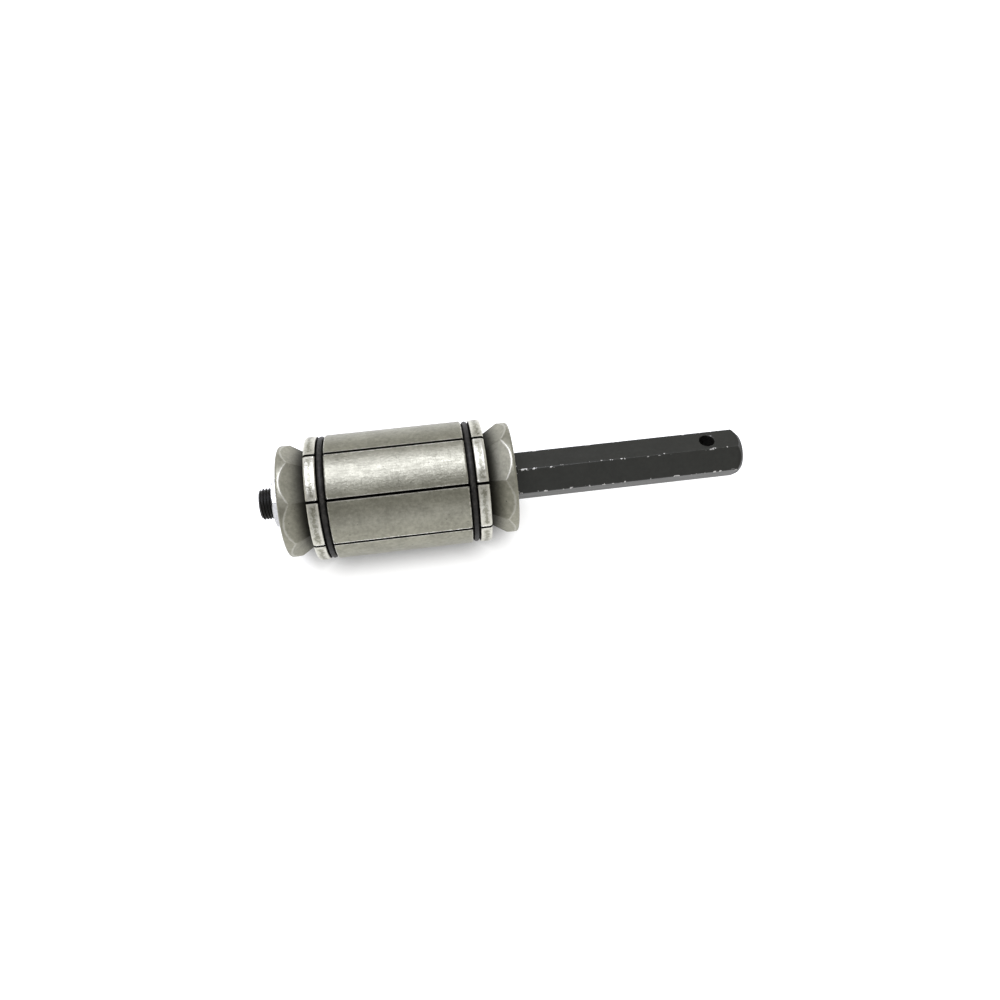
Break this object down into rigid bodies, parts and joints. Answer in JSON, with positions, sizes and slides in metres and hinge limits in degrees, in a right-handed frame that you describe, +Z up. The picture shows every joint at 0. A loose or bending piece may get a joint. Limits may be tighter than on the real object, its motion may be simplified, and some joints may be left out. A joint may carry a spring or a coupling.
{
  "type": "exhaust pipe expander",
  "caption": "Hand tool that widens a pipe's end: a hexagon drive screw draws two octagonal cones into a ring of steel jaws held by two rubber rings.",
  "frame": {"origin": "on the screw's axis, midway along the closed jaws", "axes": "+X along the axis from the threaded end to the wrench hexagon, +Z up through the middle of jaw_1"},
  "size_m": [0.2514, 0.0634, 0.0634],
  "materials": {
    "tumbled_steel": "tumbled, bare",
    "blackened_steel": "black oxide",
    "zinc_plate": "bright zinc",
    "hardened_steel": "blackened",
    "black_rubber": "moulded, satin"
  },
  "bodies": {
    "rear_cone": {"rear_cone": "tumbled_steel", "thrust_washer": "hardened_steel"},
    "drive_screw": {"drive_screw": "blackened_steel"},
    "front_cone": {"front_cone": "tumbled_steel", "draw_nut": "zinc_plate"},
    "jaw_1": {"jaw_1": "tumbled_steel"},
    "jaw_2": {"jaw_2": "tumbled_steel"},
    "jaw_3": {"jaw_3": "tumbled_steel"},
    "jaw_4": {"jaw_4": "tumbled_steel"},
    "jaw_5": {"jaw_5": "tumbled_steel"},
    "jaw_6": {"jaw_6": "tumbled_steel"},
    "jaw_7": {"jaw_7": "tumbled_steel"},
    "jaw_8": {"jaw_8": "tumbled_steel"},
    "front_o_ring": {"front_o_ring": "black_rubber"},
    "rear_o_ring": {"rear_o_ring": "black_rubber"}
  },
  "joints": [
    {"name": "screw_turn", "type": "hinge", "parent": "rear_cone", "child": "drive_screw", "pos_m": [0, 0, 0], "axis": [-1, 0, 0], "range_deg": [0, 10563.86]},
    {"name": "front_cone_draw", "type": "slide", "parent": "rear_cone", "child": "front_cone", "axis": [1, 0, 0], "range_m": [0, 0.04399]},
    {"name": "jaw_1_spread", "type": "slide", "parent": "rear_cone", "child": "jaw_1", "axis": [0.866, 0, 0.5], "range_m": [0, 0.02541]},
    {"name": "jaw_2_spread", "type": "slide", "parent": "rear_cone", "child": "jaw_2", "axis": [0.866, 0.3536, 0.3536], "range_m": [0, 0.02541]},
    {"name": "jaw_3_spread", "type": "slide", "parent": "rear_cone", "child": "jaw_3", "axis": [0.866, 0.5, 0], "range_m": [0, 0.02541]},
    {"name": "jaw_4_spread", "type": "slide", "parent": "rear_cone", "child": "jaw_4", "axis": [0.866, 0.3536, -0.3536], "range_m": [0, 0.02541]},
    {"name": "jaw_5_spread", "type": "slide", "parent": "rear_cone", "child": "jaw_5", "axis": [0.866, 0, -0.5], "range_m": [0, 0.02541]},
    {"name": "jaw_6_spread", "type": "slide", "parent": "rear_cone", "child": "jaw_6", "axis": [0.866, -0.3536, -0.3536], "range_m": [0, 0.02541]},
    {"name": "jaw_7_spread", "type": "slide", "parent": "rear_cone", "child": "jaw_7", "axis": [0.866, -0.5, 0], "range_m": [0, 0.02541]},
    {"name": "jaw_8_spread", "type": "slide", "parent": "rear_cone", "child": "jaw_8", "axis": [0.866, -0.3536, 0.3536], "range_m": [0, 0.02541]},
    {"name": "front_o_ring_shift", "type": "slide", "parent": "rear_cone", "child": "front_o_ring", "axis": [1, 0, 0], "range_m": [0, 0.02201], "deforming": ["front_o_ring"]},
    {"name": "rear_o_ring_shift", "type": "slide", "parent": "rear_cone", "child": "rear_o_ring", "axis": [1, 0, 0], "range_m": [0, 0.02201], "deforming": ["rear_o_ring"]}
  ],
  "couplings": [
    {"joint": "screw_turn", "follows": "front_cone_draw", "rad_per_m": 4188.8},
    {"joint": "jaw_1_spread", "follows": "front_cone_draw", "ratio": 0.57735},
    {"joint": "jaw_2_spread", "follows": "front_cone_draw", "ratio": 0.57735},
    {"joint": "jaw_3_spread", "follows": "front_cone_draw", "ratio": 0.57735},
    {"joint": "jaw_4_spread", "follows": "front_cone_draw", "ratio": 0.57735},
    {"joint": "jaw_5_spread", "follows": "front_cone_draw", "ratio": 0.57735},
    {"joint": "jaw_6_spread", "follows": "front_cone_draw", "ratio": 0.57735},
    {"joint": "jaw_7_spread", "follows": "front_cone_draw", "ratio": 0.57735},
    {"joint": "jaw_8_spread", "follows": "front_cone_draw", "ratio": 0.57735},
    {"joint": "front_o_ring_shift", "follows": "front_cone_draw", "ratio": 0.5},
    {"joint": "rear_o_ring_shift", "follows": "front_cone_draw", "ratio": 0.5}
  ]
}
